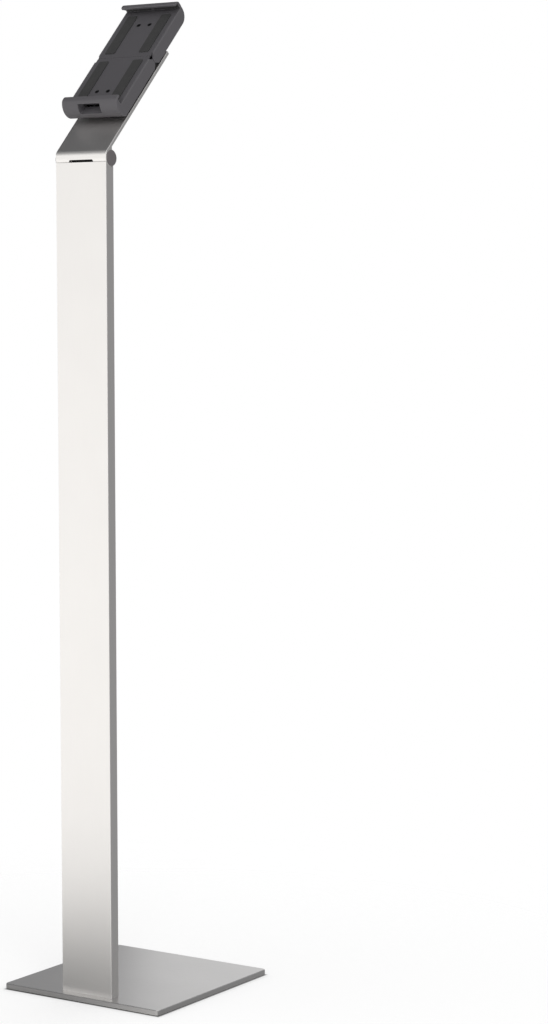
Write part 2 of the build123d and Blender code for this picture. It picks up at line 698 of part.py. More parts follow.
def jaw_shell(outline, low, high, lip_edge):
    """Channel-shaped housing with its jaw: outer outline extruded across the width and
    hollowed behind the cover between the two s limits."""
    with BuildPart() as shell:
        with BuildSketch(side_section(-HOLDER_HALF)):
            add(outline)
        extrude(amount=2 * HOLDER_HALF)
        lip_corners = [e for e in shell.edges().filter_by(face_axis) if abs(s_of(e) - lip_edge) < NEAR]
        fillet(lip_corners, LIP_CORNER)
        ends = shell.faces().sort_by(Axis.X)
        chamfer([*ends[0].edges(), *ends[-1].edges()], END_EDGE)
        with BuildSketch(face_plane(inner_back)):
            with Locations((0, (low + high) / 2)):
                Rectangle(2 * inner_half, high - low)
        extrude(amount=COVER_FACE - inner_back, mode=Mode.SUBTRACT)
        # round opening in the back wall for the bearing disc
        with BuildSketch(face_plane(HOLDER_BACK - OVER)):
            with Locations((0, SWIVEL_S)):
                Circle(DISC_OPENING)
        extrude(amount=HOLDER_WALL + OVER, mode=Mode.SUBTRACT)
    return shell.part


def vees(side):
    """Half of the open vees between the housings' side walls, front and back, as a cutter."""
    with BuildPart() as cutter:
        for face, inwards in ((COVER_FACE, -1), (HOLDER_BACK, 1)):
            with BuildSketch(side_section(-HOLDER_HALF - OVER)):
                with BuildLine():
                    Polyline(
                        (PARTING, face + inwards * VEE_DEPTH), (PARTING, face - inwards * OVER),
                        (PARTING + side * VEE_HALF, face - inwards * OVER),
                        (PARTING + side * VEE_HALF, face), close=True,
                    )
                make_face()
            extrude(amount=2 * HOLDER_HALF + 2 * OVER)
    return cutter.part


def on_jaw_round(w):
    """Point of the lower jaw's round bottom at a height w."""
    return (JAW_BOTTOM + JAW_ROUND - sqrt(JAW_ROUND**2 - (w - JAW_MIDDLE) ** 2), w)


# Lower housing with the lower jaw
lower_end = PARTING - PARTING_GAP / 2
heel = on_jaw_round(HOLDER_BACK)
toe = on_jaw_round(LIP_FRONT)
with BuildSketch() as lower_outline:
    with BuildLine():
        Polyline(
            heel, (lower_end, HOLDER_BACK), (lower_end, COVER_FACE), (JAW_FLOOR, COVER_FACE),
            (JAW_FLOOR, LIP_BACK), (LOWER_LIP_TOP, LIP_BACK), (LOWER_LIP_TOP, LIP_FRONT), toe,
        )
        ThreePointArc(toe, (JAW_BOTTOM, JAW_MIDDLE), heel)
    make_face()
    fillet(lower_outline.vertices().sort_by_distance(heel)[0], HEEL_RADIUS)
    fillet(lower_outline.vertices().sort_by_distance(toe)[0], TOE_RADIUS)

lower_boss_places = [(-COVER_SCREW_X, LOWER_BOSS_S), (COVER_SCREW_X, LOWER_BOSS_S)]
with BuildPart() as lower_housing:
    add(jaw_shell(lower_outline.sketch, HOLLOW_LOW, lower_end + OVER, LOWER_LIP_TOP))
    add(vees(-1), mode=Mode.SUBTRACT)
    # bosses for the carrier screws, and tall ones for the cover screws
    for places, top in ((carrier_screw_places, carrier_back), (lower_boss_places, cover_back)):
        with BuildSketch(face_plane(inner_back - HOLDER_WALL / 4)):
            with Locations(*places):
                Circle(BOSS_RADIUS)
        extrude(amount=top - inner_back + HOLDER_WALL / 4)
        with BuildSketch(face_plane(HOLDER_BACK + HOLDER_WALL / 2)):
            with Locations(*places):
                Circle(SMALL_TAP)
        extrude(amount=top - HOLDER_BACK, mode=Mode.SUBTRACT)
    # cable window through the jaw's bottom wall
    with BuildSketch(end_plane(JAW_BOTTOM - OVER)):
        with Locations((WINDOW_CENTRE, -(WINDOW_BACK + WINDOW_FRONT) / 2)):
            RectangleRounded(WINDOW_WIDTH, WINDOW_FRONT - WINDOW_BACK, WINDOW_CORNER)
    extrude(amount=HOLLOW_LOW - JAW_BOTTOM + OVER, mode=Mode.SUBTRACT)
    # shallow dip in the lip's edge
    with BuildSketch(face_plane(LIP_BACK - OVER)):
        with BuildLine():
            Polyline(
                (DIP_LEFT, LOWER_LIP_TOP + OVER), (DIP_RIGHT, LOWER_LIP_TOP + OVER),
                (DIP_RIGHT - DIP_SLOPE, LOWER_LIP_TOP - DIP_DEPTH),
                (DIP_LEFT + DIP_SLOPE, LOWER_LIP_TOP - DIP_DEPTH), close=True,
            )
        make_face()
    extrude(amount=LIP_FRONT - LIP_BACK + 2 * OVER, mode=Mode.SUBTRACT)
hand_in("lower_housing", lower_housing.part)

# Upper housing with the sliding jaw
upper_end = PARTING + PARTING_GAP / 2
with BuildSketch() as upper_outline:
    with BuildLine():
        Polyline(
            (upper_end, COVER_FACE), (upper_end, HOLDER_BACK), (JAW_TOP, HOLDER_BACK),
            (JAW_TOP, LIP_FRONT), (UPPER_LIP_EDGE, LIP_FRONT), (UPPER_LIP_EDGE, LIP_BACK),
            (JAW_CEILING, LIP_BACK), (JAW_CEILING, COVER_FACE), close=True,
        )
    make_face()
    fillet(upper_outline.vertices().sort_by_distance((JAW_TOP, HOLDER_BACK))[0], TOP_BACK_RADIUS)
    fillet(upper_outline.vertices().sort_by_distance((JAW_TOP, LIP_FRONT))[0], TOP_FRONT_RADIUS)

anchor_middle = (ANCHOR_LOW + ANCHOR_HIGH) / 2
rod_places = [(-ROD_X, -ROD_W), (ROD_X, -ROD_W)]
upper_cover_screw_places = [(-COVER_SCREW_X, anchor_middle), (COVER_SCREW_X, anchor_middle)]
with BuildPart() as upper_housing:
    add(jaw_shell(upper_outline.sketch, upper_end - OVER, HOLLOW_HIGH, UPPER_LIP_EDGE))
    add(vees(1), mode=Mode.SUBTRACT)
    # anchor block that grips the two guide rods
    with BuildSketch(face_plane(inner_back - HOLDER_WALL / 4)):
        with Locations((0, anchor_middle)):
            Rectangle(ANCHOR_WIDTH, ANCHOR_HIGH - ANCHOR_LOW)
    extrude(amount=cover_back - inner_back + HOLDER_WALL / 4)
    with BuildSketch(end_plane(ANCHOR_LOW)):
        with Locations(*rod_places):
            Circle(ROD_RADIUS - PRESS)
    extrude(amount=ANCHOR_HIGH - ANCHOR_LOW, mode=Mode.SUBTRACT)
    with BuildSketch(face_plane(cover_back - TAP_DEPTH)):
        with Locations(*upper_cover_screw_places):
            Circle(SMALL_TAP)
    extrude(amount=TAP_DEPTH, mode=Mode.SUBTRACT)
hand_in("upper_housing", upper_housing.part)


def cover(low, high, screw_places):
    """Flat cover of one housing with its countersunk screw holes."""
    with BuildPart() as plate:
        with BuildSketch(face_plane(cover_back)):
            with Locations((0, (low + high) / 2)):
                RectangleRounded(2 * inner_half - COVER_PLAY, high - low, COVER_CORNER)
        extrude(amount=COVER_THICK)
        with Locations(*[face_plane(COVER_FACE) * Location((x, s, 0)) for x, s in screw_places]):
            CounterSinkHole(*COVER_HOLE, 2 * COVER_THICK, SINK_ANGLE)
    return plate.part


lower_cover_screw_places = lower_boss_places + guide_boss_places
hand_in("lower_cover", cover(HOLLOW_LOW + COVER_END_GAP, lower_end, lower_cover_screw_places))
hand_in("upper_cover", cover(upper_end, HOLLOW_HIGH - COVER_END_GAP, upper_cover_screw_places))

cover_screw = countersunk_screw(*COVER_SCREW)
hand_in("lower_cover_screws", put(cover_screw, face_plane(COVER_FACE), *lower_cover_screw_places))
hand_in("upper_cover_screws", put(cover_screw, face_plane(COVER_FACE), *upper_cover_screw_places))

# Guide block on the carrier, bored for the two rods
with BuildPart() as guide_block:
    with BuildSketch(face_plane(carrier_front)):
        with Locations((0, guide_middle)):
            RectangleRounded(GUIDE_WIDTH, GUIDE_HIGH - GUIDE_LOW, GUIDE_CORNER)
    extrude(amount=cover_back - carrier_front)
    with BuildSketch(end_plane(GUIDE_LOW)):
        with Locations(*rod_places):
            Circle(ROD_RADIUS + RUNNING_GAP)
    extrude(amount=GUIDE_HIGH - GUIDE_LOW, mode=Mode.SUBTRACT)
    for places, radius, bottom in (
        (guide_screw_places, CLEAR_HOLE, carrier_front),
        (guide_screw_places, GUIDE_HEAD_HOLE, carrier_front + GUIDE_SEAT),
        (guide_boss_places, SMALL_TAP, cover_back - TAP_DEPTH + OVER),
    ):
        with BuildSketch(face_plane(bottom)):
            with Locations(*places):
                Circle(radius)
        extrude(amount=cover_back - bottom, mode=Mode.SUBTRACT)
hand_in("guide_block", guide_block.part)

guide_seat = face_plane(carrier_front + GUIDE_SEAT)
hand_in("guide_screws", put(cap_screw(*GUIDE_SCREW), guide_seat, *guide_screw_places))


def on_rods(outer, inner, low, high):
    """Two equal round pieces on the rods' lines, between two places along the arm."""
    with BuildPart() as pair:
        with BuildSketch(end_plane(low)):
            with Locations(*rod_places):
                Circle(outer)
                if inner > 0:
                    Circle(inner, mode=Mode.SUBTRACT)
        extrude(amount=high - low)
    return pair.part


# Guide rods of the sliding jaw, their end collars and the closing springs
hand_in("guide_rods", on_rods(ROD_RADIUS, 0, ROD_LOW, ROD_HIGH))
hand_in("rod_collars", on_rods(COLLAR_RADIUS, ROD_RADIUS - PRESS, COLLAR_LOW, COLLAR_TOP))
hand_in("closing_springs", on_rods(SPRING_OUTER, SPRING_INNER, COLLAR_TOP, GUIDE_LOW))


def pads(face_low, face_high, seat, lip_low, lip_high, clear_half):
    """Rubber pads of one jaw: two strips on the cover, two on the seat clear of its
    middle, one behind the lip."""
    with BuildPart() as group:
        with BuildSketch(face_plane(COVER_FACE)):
            with Locations(*[(x, (face_low + face_high) / 2) for x in (-PAD_X, PAD_X)]):
                RectangleRounded(PAD_WIDTH, face_high - face_low, PAD_CORNER)
        extrude(amount=PAD_THICK)
        with BuildSketch(end_plane(seat)):
            seat_x = (clear_half + inner_half) / 2
            with Locations(*[(x, -(SEAT_PAD_BACK + SEAT_PAD_FRONT) / 2) for x in (-seat_x, seat_x)]):
                Rectangle(inner_half - clear_half - PAD_MARGIN, SEAT_PAD_FRONT - SEAT_PAD_BACK)
        extrude(amount=PAD_THICK)
        with BuildSketch(face_plane(LIP_BACK - LIP_PAD_THICK)):
            with Locations((0, (lip_low + lip_high) / 2)):
                Rectangle(2 * inner_half - LIP_PAD_MARGIN, lip_high - lip_low)
        extrude(amount=LIP_PAD_THICK)
    return group.part


tablet_low = JAW_FLOOR + PAD_THICK
tablet_high = JAW_CEILING - PAD_THICK
lower_lip_pad = (tablet_low + LIP_PAD_GAP, LOWER_LIP_PAD_TOP)
upper_lip_pad = (UPPER_LIP_PAD_LOW, tablet_high - LIP_PAD_GAP)
hand_in("lower_pads", pads(*LOWER_PAD, JAW_FLOOR, *lower_lip_pad, LOWER_SEAT_CLEAR))
hand_in("upper_pads", pads(*UPPER_PAD, tablet_high, *upper_lip_pad, UPPER_SEAT_CLEAR))
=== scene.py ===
from math import cos, pi, radians, sin

import bpy
from mathutils import Matrix, Vector


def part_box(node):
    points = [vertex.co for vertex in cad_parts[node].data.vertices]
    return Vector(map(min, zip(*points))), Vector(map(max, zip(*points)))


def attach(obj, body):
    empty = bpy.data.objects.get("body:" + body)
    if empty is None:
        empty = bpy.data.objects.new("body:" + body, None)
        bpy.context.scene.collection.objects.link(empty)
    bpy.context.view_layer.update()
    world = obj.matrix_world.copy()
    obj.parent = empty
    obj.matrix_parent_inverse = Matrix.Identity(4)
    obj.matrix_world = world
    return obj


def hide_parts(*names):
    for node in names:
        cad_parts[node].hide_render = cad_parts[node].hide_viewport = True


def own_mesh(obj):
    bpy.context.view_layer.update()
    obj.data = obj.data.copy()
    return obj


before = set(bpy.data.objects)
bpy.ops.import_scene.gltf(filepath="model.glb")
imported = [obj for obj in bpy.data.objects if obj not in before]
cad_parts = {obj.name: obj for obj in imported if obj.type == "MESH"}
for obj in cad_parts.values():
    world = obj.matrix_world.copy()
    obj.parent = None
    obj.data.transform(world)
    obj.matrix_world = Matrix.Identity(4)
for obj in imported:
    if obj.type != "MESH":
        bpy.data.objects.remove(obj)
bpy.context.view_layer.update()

MM = 0.001

# Camera of the photograph, worked out from the stand's known edges. Metres and degrees.
FOCAL_PIXELS = 2650.4
IMAGE_HEIGHT = 1024
SENSOR = 36.0
CAMERA_PLACE = (1.8967, -2.5838, 0.8458)
CAMERA_YAW = -33.25
CAMERA_PITCH = 4.756
CAMERA_ROLL = -0.084

# Light on matt surfaces, and what reflections show: a white screen in front, a grey one overhead
# with a black flag beside it, grey ground and dim sides. A rim holds where a screen begins and
# where it is full, as the ray's height or as its closeness to the screen's direction.
WHITE = (1, 1, 1, 1)
PLAIN_LIGHT = (0.82, 0.82, 0.82, 1)
DIM_SIDES = (0.27, 0.27, 0.275, 1)
FRONT_SCREEN = (1.12, 1.11, 1.10, 1)
FRONT_DIRECTION = (-0.5, -0.866, 0.0)
FRONT_RIM = (0.1, 0.42)
FRONT_TOP_RIM = (0.44, 0.10)
OVERHEAD_SCREEN = (0.60, 0.60, 0.60, 1)
OVERHEAD_RIM = (0.6, 0.85)
BLACK_FLAG = (0.05, 0.05, 0.055, 1)
FLAG_DIRECTION = (-0.545, 0.064, 0.835)
FLAG_RIM = (0.84, 0.93)
GROUND_GREY = (0.58, 0.58, 0.57, 1)
GROUND_RIM = (-0.45, -0.8)

# Floor: how far from the middle it fades into the white, and a painted shade that reflections and bounced
# light see
FLOOR_HALF = 14.0
FLOOR_COLOUR = (0.80, 0.80, 0.80, 1)
FLOOR_LIFT = 0.25
FLOOR_FADE = (0.15, 0.9)
# Painted shade: a dark grey floor for reflections and bounced light, round a point on the stand's shadow
# side, fading out with distance
PAINTED_SHADE_GREY = (0.24, 0.24, 0.24, 1)
PAINTED_SHADE_CENTRE = (-0.12, -0.17)
PAINTED_SHADE_FADE = (0.06, 0.52)
# Painted shadow: the floor at and under the plate's edge is not lifted to white for the camera
PAINTED_SHADOW_RIM = (-2 * MM, 3 * MM)

# Lamps: name, place, target, width, height, watts
LAMPS = (
    ("right_softbox", (1.9, -2.2, 2.6), (0, 0, 0.9), 1.6, 1.6, 20),
    ("back_card", (-0.36, 1.25, 0.45), (0, 0, 0.02), 1.0, 0.9, 1.25),
)

# Colours read off the photograph's surfaces, or usual for the finish where it hides them
ALUMINIUM = (0.88, 0.865, 0.845, 1)
ALUMINIUM_DULL = (0.85, 0.835, 0.815, 1)
BARE_METAL = (0.93, 0.925, 0.915, 1)
PLATE_STEEL = (0.80, 0.79, 0.78, 1)
PLATE_STEEL_DARK = (0.67, 0.66, 0.65, 1)
ZINC_PLATE = (0.66, 0.67, 0.69, 1)
ZINC_PLATE_CLOUDY = (0.56, 0.57, 0.58, 1)
BRIGHT_STEEL = (0.78, 0.78, 0.79, 1)
BRIGHT_STEEL_OILY = (0.70, 0.70, 0.70, 1)
SPRING_STEEL = (0.38, 0.38, 0.40, 1)
SPRING_STEEL_TINTED = (0.28, 0.27, 0.27, 1)
BLACK_OXIDE = (0.035, 0.035, 0.038, 1)
BLACK_OXIDE_RUBBED = (0.12, 0.12, 0.12, 1)
# Painted shade: near black for the hinge block, which shows through the notch at the hinge
PAINTED_SHADE_BLACK = (0.015, 0.015, 0.016, 1)
PAINTED_SHADE_BLACK_PALE = (0.027, 0.027, 0.028, 1)
CHARCOAL = (0.082, 0.078, 0.085, 1)
CHARCOAL_PALE = (0.103, 0.098, 0.106, 1)
COVER_CHARCOAL = (0.067, 0.064, 0.070, 1)
CAP_GREY = (0.138, 0.127, 0.132, 1)
CAP_GREY_DARK = (0.120, 0.110, 0.114, 1)
SWIVEL_GREY = (0.48, 0.466, 0.445, 1)
SWIVEL_GREY_DARK = (0.42, 0.406, 0.388, 1)
BLACK_PLASTIC = (0.012, 0.012, 0.013, 1)
BLACK_PLASTIC_PALE = (0.022, 0.022, 0.023, 1)
BLACK_ACETAL = (0.022, 0.022, 0.023, 1)
BLACK_ACETAL_PALE = (0.035, 0.035, 0.036, 1)
NATURAL_ACETAL = (0.78, 0.77, 0.72, 1)
NATURAL_ACETAL_DULL = (0.72, 0.71, 0.66, 1)
RUBBER = (0.022, 0.022, 0.023, 1)
RUBBER_DUSTY = (0.048, 0.047, 0.046, 1)

# Wear on edges: how far a rounded edge turns from its face where it begins and where it is full,
# the size of its patches, and how much paler worn plastic is, up to a limit
WORN_EDGE = (0.99, 0.86)
WEAR_PATCH = 14 * MM
WORN_PLASTIC = 1.55
PALEST_PLASTIC = 0.9

# Sawn rim of the base plate, and ribs of the rubber pads
PLATE_RIM = 0.5 * MM
RIB_PITCH = 1.6 * MM
RIB_DEPTH = 0.12 * MM
PORE_DEPTH = 0.03 * MM

# Closing springs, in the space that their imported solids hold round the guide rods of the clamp
ARM_LEAN = radians(45)
COIL_OUTER = 4 * MM
COIL_WIRE = 0.8 * MM
COIL_PLAY = 0.15 * MM
COIL_TURNS = 11
WIRE_SIDES = 10
TURN_STEPS = 28
CUT_END_ANGLE = radians(50)


class Wire:
    """An output of a shader node. Arithmetic on it adds Math nodes."""

    def __init__(self, nodes, socket):
        self.nodes = nodes
        self.socket = socket

    def math(self, operation, *terms):
        return self.nodes.add("ShaderNodeMath", {"operation": operation}, dict(enumerate(terms)))

    def __add__(self, other):
        return self.math("ADD", self, other)

    def __radd__(self, other):
        return self.math("ADD", other, self)

    def __sub__(self, other):
        return self.math("SUBTRACT", self, other)

    def __rsub__(self, other):
        return self.math("SUBTRACT", other, self)

    def __mul__(self, other):
        return self.math("MULTIPLY", self, other)

    def __rmul__(self, other):
        return self.math("MULTIPLY", other, self)

    def __abs__(self):
        return self.math("ABSOLUTE", self)

    def root(self):
        return self.math("SQRT", self)

    def sine(self):
        return self.math("SINE", self)

    def larger(self, other):
        return self.math("MAXIMUM", self, other)


class Nodes:
    """The node tree of one material or world."""

    def __init__(self, owner):
        owner.use_nodes = True
        self.tree = owner.node_tree
        self.tree.nodes.clear()

    def add(self, kind, settings, values, output=0):
        """Add a node: its settings first, then the values or wires of its sockets."""
        node = self.tree.nodes.new(kind)
        for key, value in settings.items():
            setattr(node, key, value)
        for key, value in values.items():
            if isinstance(value, Wire):
                self.tree.links.new(value.socket, node.inputs[key])
            else:
                node.inputs[key].default_value = value
        return Wire(self, node.outputs[output]) if len(node.outputs) else None

    def point(self):
        """Where the shaded point is on the piece, in metres."""
        return self.add("ShaderNodeTexCoord", {}, {}, "Object")

    def place(self, axis):
        """The shaded point's place along X, Y or Z, in metres."""
        return self.add("ShaderNodeSeparateXYZ", {}, {"Vector": self.point()}, axis)

    def noise(self, size, stretch=(1, 1, 1), detail=2.0):
        """Smooth noise from 0 to 1, its cells about this size in metres, longer where stretch is small."""
        multiply = {"operation": "MULTIPLY"}
        spot = self.add("ShaderNodeVectorMath", multiply, {0: self.point(), 1: stretch})
        return self.add("ShaderNodeTexNoise", {}, {"Vector": spot, "Scale": 1 / size, "Detail": detail})

    def smooth(self, wire, low, high):
        """0 below low, 1 above high, smooth between. low may be the larger."""
        values = {"Value": wire, "From Min": low, "From Max": high}
        return self.add("ShaderNodeMapRange", {"interpolation_type": "SMOOTHSTEP"}, values)

    def closeness(self, first, second):
        """Dot product of two directions: 1 where they agree."""
        return self.add("ShaderNodeVectorMath", {"operation": "DOT_PRODUCT"}, {0: first, 1: second}, "Value")

    def mix(self, factor, first, second):
        """Colour between two colours."""
        return self.add("ShaderNodeMix", {"data_type": "RGBA"}, {0: factor, 6: first, 7: second}, 2)

    def edge_wear(self, reach):
        """1 on edges, within this reach in metres, and 0 on the faces."""
        rounded = self.add("ShaderNodeBevel", {"samples": 4}, {"Radius": reach})
        facing = self.add("ShaderNodeNewGeometry", {}, {}, "Normal")
        rubbed = self.noise(WEAR_PATCH, detail=3.0)
        return self.smooth(self.closeness(rounded, facing), *WORN_EDGE) * (0.35 + 0.9 * rubbed)

    def ray(self, kind):
        """1 for rays of this kind, as Light Path names them, and 0 for others."""
        return self.add("ShaderNodeLightPath", {}, {}, kind)

    def straight_view(self):
        """1 for what the camera sees directly or through glass, 0 for light and reflections."""
        return self.ray("Is Camera Ray") + self.ray("Is Transmission Ray")

    def bump(self, height, depth):
        """Normal from a height of 0 to 1 that stands for this depth in metres."""
        return self.add("ShaderNodeBump", {}, {"Distance": depth, "Height": height})


class Finish(Nodes):
    """A named material with one Principled surface."""

    def __init__(self, name):
        self.material = bpy.data.materials.new(name)
        super().__init__(self.material)

    def surface(self, **values):
        """The material, its surface set by the Principled shader's sockets in lower case."""
        sockets = {key.replace("_", " ").title(): value for key, value in values.items()}
        shader = self.add("ShaderNodeBsdfPrincipled", {}, sockets)
        self.add("ShaderNodeOutputMaterial", {}, {"Surface": shader})
        return self.material


# Metal finishes


def satin_aluminium(name, lay):
    """Anodised extrusion: blasted grain, faint die lines along its lay, edges polished by hands."""
    finish = Finish(name)
    along = [0.02 if axis == lay else 1.0 for axis in "XYZ"]
    lines = finish.noise(0.6 * MM, along)
    grain = finish.noise(0.25 * MM, detail=1.0)
    patches = finish.noise(60 * MM, detail=3.0)
    wear = finish.edge_wear(0.8 * MM)
    colour = finish.mix(0.5 * lines + 0.5 * patches, ALUMINIUM, ALUMINIUM_DULL)
    return finish.surface(
        base_color=finish.mix(wear, colour, BARE_METAL),
        metallic=1.0,
        roughness=0.33 + 0.05 * patches + 0.04 * lines + 0.03 * grain - 0.14 * wear,
        normal=finish.bump(0.6 * grain + 0.4 * lines, 0.006 * MM),
    )


def brushed_plate():
    """Satin ground steel: strokes across the plate, duller on the sawn rim, bright on worn edges."""
    finish = Finish("brushed_plate")
    strokes = finish.noise(0.35 * MM, (0.03, 1, 1))
    long_strokes = finish.noise(1.8 * MM, (0.02, 1, 1))
    haze = finish.noise(85 * MM, detail=3.0)
    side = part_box("base_plate")[1].x
    rims = [finish.smooth(abs(finish.place(axis)), side - PLATE_RIM, side) for axis in "XY"]
    rim = rims[0] + rims[1]
    wear = finish.edge_wear(0.9 * MM)
    colour = finish.mix(0.5 * strokes + 0.2 * haze + 0.3 * rim, PLATE_STEEL, PLATE_STEEL_DARK)
    return finish.surface(
        base_color=finish.mix(wear, colour, BARE_METAL),
        metallic=1.0,
        roughness=0.24 + 0.06 * haze + 0.06 * strokes + 0.08 * rim - 0.08 * wear,
        normal=finish.bump(0.7 * strokes + 0.3 * long_strokes, 0.004 * MM),
    )


def plated_steel():
    """Zinc plate with its faint cloudy sheen."""
    finish = Finish("zinc_plated_steel")
    clouds = finish.noise(4 * MM, detail=3.0)
    grain = finish.noise(0.3 * MM)
    return finish.surface(
        base_color=finish.mix(clouds, ZINC_PLATE, ZINC_PLATE_CLOUDY),
        metallic=1.0,
        roughness=0.28 + 0.14 * clouds,
        normal=finish.bump(grain, 0.006 * MM),
    )


def painted_shade_casting():
    """Die casting coloured near black as painted shade for the dark notch at the hinge it is seen through,
    with pits in its surface.
    """
    finish = Finish("painted_shade_casting")
    pits = finish.noise(0.5 * MM, detail=3.0)
    clouds = finish.noise(9 * MM)
    return finish.surface(
        base_color=finish.mix(clouds, PAINTED_SHADE_BLACK, PAINTED_SHADE_BLACK_PALE),
        roughness=0.42 + 0.12 * pits,
        normal=finish.bump(pits, 0.03 * MM),
    )


def ground_steel():
    """Centreless ground bar: fine grinding marks and an oil film."""
    finish = Finish("ground_steel")
    marks = finish.noise(0.2 * MM, detail=3.0)
    film = finish.noise(14 * MM)
    return finish.surface(
        base_color=finish.mix(film, BRIGHT_STEEL, BRIGHT_STEEL_OILY),
        metallic=1.0,
        roughness=0.12 + 0.08 * film + 0.05 * marks,
        normal=finish.bump(marks, 0.002 * MM),
    )


def oiled_spring_steel():
    """Oiled spring steel with a darker heat tint."""
    finish = Finish("spring_steel")
    tint = finish.noise(3 * MM)
    grain = finish.noise(0.25 * MM)
    return finish.surface(
        base_color=finish.mix(tint, SPRING_STEEL, SPRING_STEEL_TINTED),
        metallic=1.0,
        roughness=0.28 + 0.1 * tint,
        normal=finish.bump(grain, 0.005 * MM),
    )


def black_oxide_and_shade():
    """Black oxide on steel, a little rubbed; on the rod collars it is also painted shade, dark with no glint
    in the clamp's window.
    """
    finish = Finish("black_oxide_screws")
    rubbed = finish.smooth(finish.noise(1.6 * MM, detail=3.0), 0.55, 0.8)
    grain = finish.noise(0.2 * MM)
    return finish.surface(
        base_color=finish.mix(rubbed, BLACK_OXIDE, BLACK_OXIDE_RUBBED),
        metallic=0.9,
        roughness=0.38 + 0.08 * grain,
        normal=finish.bump(grain, 0.006 * MM),
    )


# Plastics, paint and rubber


def moulded(name, colour, other, roughness=0.46, grain_size=0.45):
    """Injection moulding with the fine spark-eroded grain of its mould, in mm, and paler worn edges."""
    finish = Finish(name)
    grain = finish.noise(grain_size * MM, detail=3.0)
    flow = finish.noise(35 * MM)
    wear = finish.edge_wear(0.6 * MM)
    worn = [min(WORN_PLASTIC * part, PALEST_PLASTIC) for part in other[:3]] + [1]
    clean = finish.mix(0.5 * grain + 0.5 * flow, colour, other)
    return finish.surface(
        base_color=finish.mix(0.8 * wear, clean, worn),
        roughness=roughness + 0.1 * grain - 0.05 * flow - 0.1 * wear,
        normal=finish.bump(grain, 0.02 * MM),
    )


def swivel_paint():
    """Metallic satin paint on the swivel's cover."""
    finish = Finish("swivel_cover_paint")
    flakes = finish.noise(0.12 * MM, detail=1.0)
    flow = finish.noise(12 * MM)
    return finish.surface(
        base_color=finish.mix(0.6 * flakes + 0.4 * flow, SWIVEL_GREY, SWIVEL_GREY_DARK),
        metallic=0.55,
        roughness=0.4 + 0.08 * flow,
        normal=finish.bump(flakes, 0.003 * MM),
    )


def rubber(name, ribbed=False):
    """Matt rubber, dusty in its pores, with fine ribs across the arm where asked."""
    finish = Finish(name)
    pores = finish.noise(0.35 * MM, detail=3.0)
    dust = finish.noise(7 * MM, detail=3.0)
    height, depth = pores, PORE_DEPTH
    if ribbed:
        along_arm = cos(ARM_LEAN) * (finish.place("Y") + finish.place("Z"))
        ribs = (along_arm * (2 * pi / RIB_PITCH)).sine()
        height, depth = 0.2 * pores + 0.8 * (0.5 + 0.5 * ribs), RIB_DEPTH
    return finish.surface(
        base_color=finish.mix(0.5 * dust + 0.3 * pores, RUBBER, RUBBER_DUSTY),
        roughness=0.72 + 0.12 * dust,
        normal=finish.bump(height, depth),
    )


def dress(material, *names):
    """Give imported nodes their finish."""
    for name in names:
        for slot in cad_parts[name].material_slots:
            slot.material = material


spring_steel = oiled_spring_steel()
dress(satin_aluminium("satin_column", "Z"), "column")
dress(satin_aluminium("satin_arm", "X"), "arm")
dress(brushed_plate(), "base_plate")
# the hinge block is near black as painted shade in the notch at the hinge
dress(painted_shade_casting(), "hinge_block")
dress(
    plated_steel(), "column_screws", "block_screws", "hinge_nuts", "retaining_disc",
    "retainer_screws", "carrier_plate", "disc_screws", "carrier_screws", "guide_screws",
)
dress(ground_steel(), "hinge_shaft", "guide_rods")
dress(spring_steel, "disc_springs", "friction_washers", "wave_washer", "closing_springs")
# the rod collars take black oxide as painted shade, dark in the clamp's window
dress(black_oxide_and_shade(), "lower_cover_screws", "upper_cover_screws", "rod_collars")
dress(moulded("charcoal_housing", CHARCOAL, CHARCOAL_PALE), "lower_housing", "upper_housing")
dress(moulded("charcoal_cover", COVER_CHARCOAL, CHARCOAL, 0.5), "lower_cover", "upper_cover")
dress(
    moulded("hinge_cap_plastic", CAP_GREY, CAP_GREY_DARK, 0.42, 0.3),
    "left_hinge_cap", "right_hinge_cap",
)
dress(
    moulded("black_bearing_plastic", BLACK_PLASTIC, BLACK_PLASTIC_PALE, 0.34, 0.5),
    "swivel_disc", "cable_grommet",
)
dress(moulded("black_acetal", BLACK_ACETAL, BLACK_ACETAL_PALE, 0.34, 0.6), "guide_block")
dress(
    moulded("natural_acetal", NATURAL_ACETAL, NATURAL_ACETAL_DULL, 0.3, 0.8),
    "arm_bushes", "glide_ring",
)
dress(swivel_paint(), "swivel_cap")
dress(rubber("foot_rubber"), "base_feet")
dress(rubber("pad_rubber", ribbed=True), "lower_pads", "upper_pads")


# Closing springs


def rod_line(side):
    """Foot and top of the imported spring's middle line on one side."""
    low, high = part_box("closing_springs")
    rim = COIL_OUTER * Vector((0, cos(ARM_LEAN), sin(ARM_LEAN)))
    foot, top = low + rim, high - rim
    foot.x = top.x = side * (high.x - COIL_OUTER)
    return foot, top


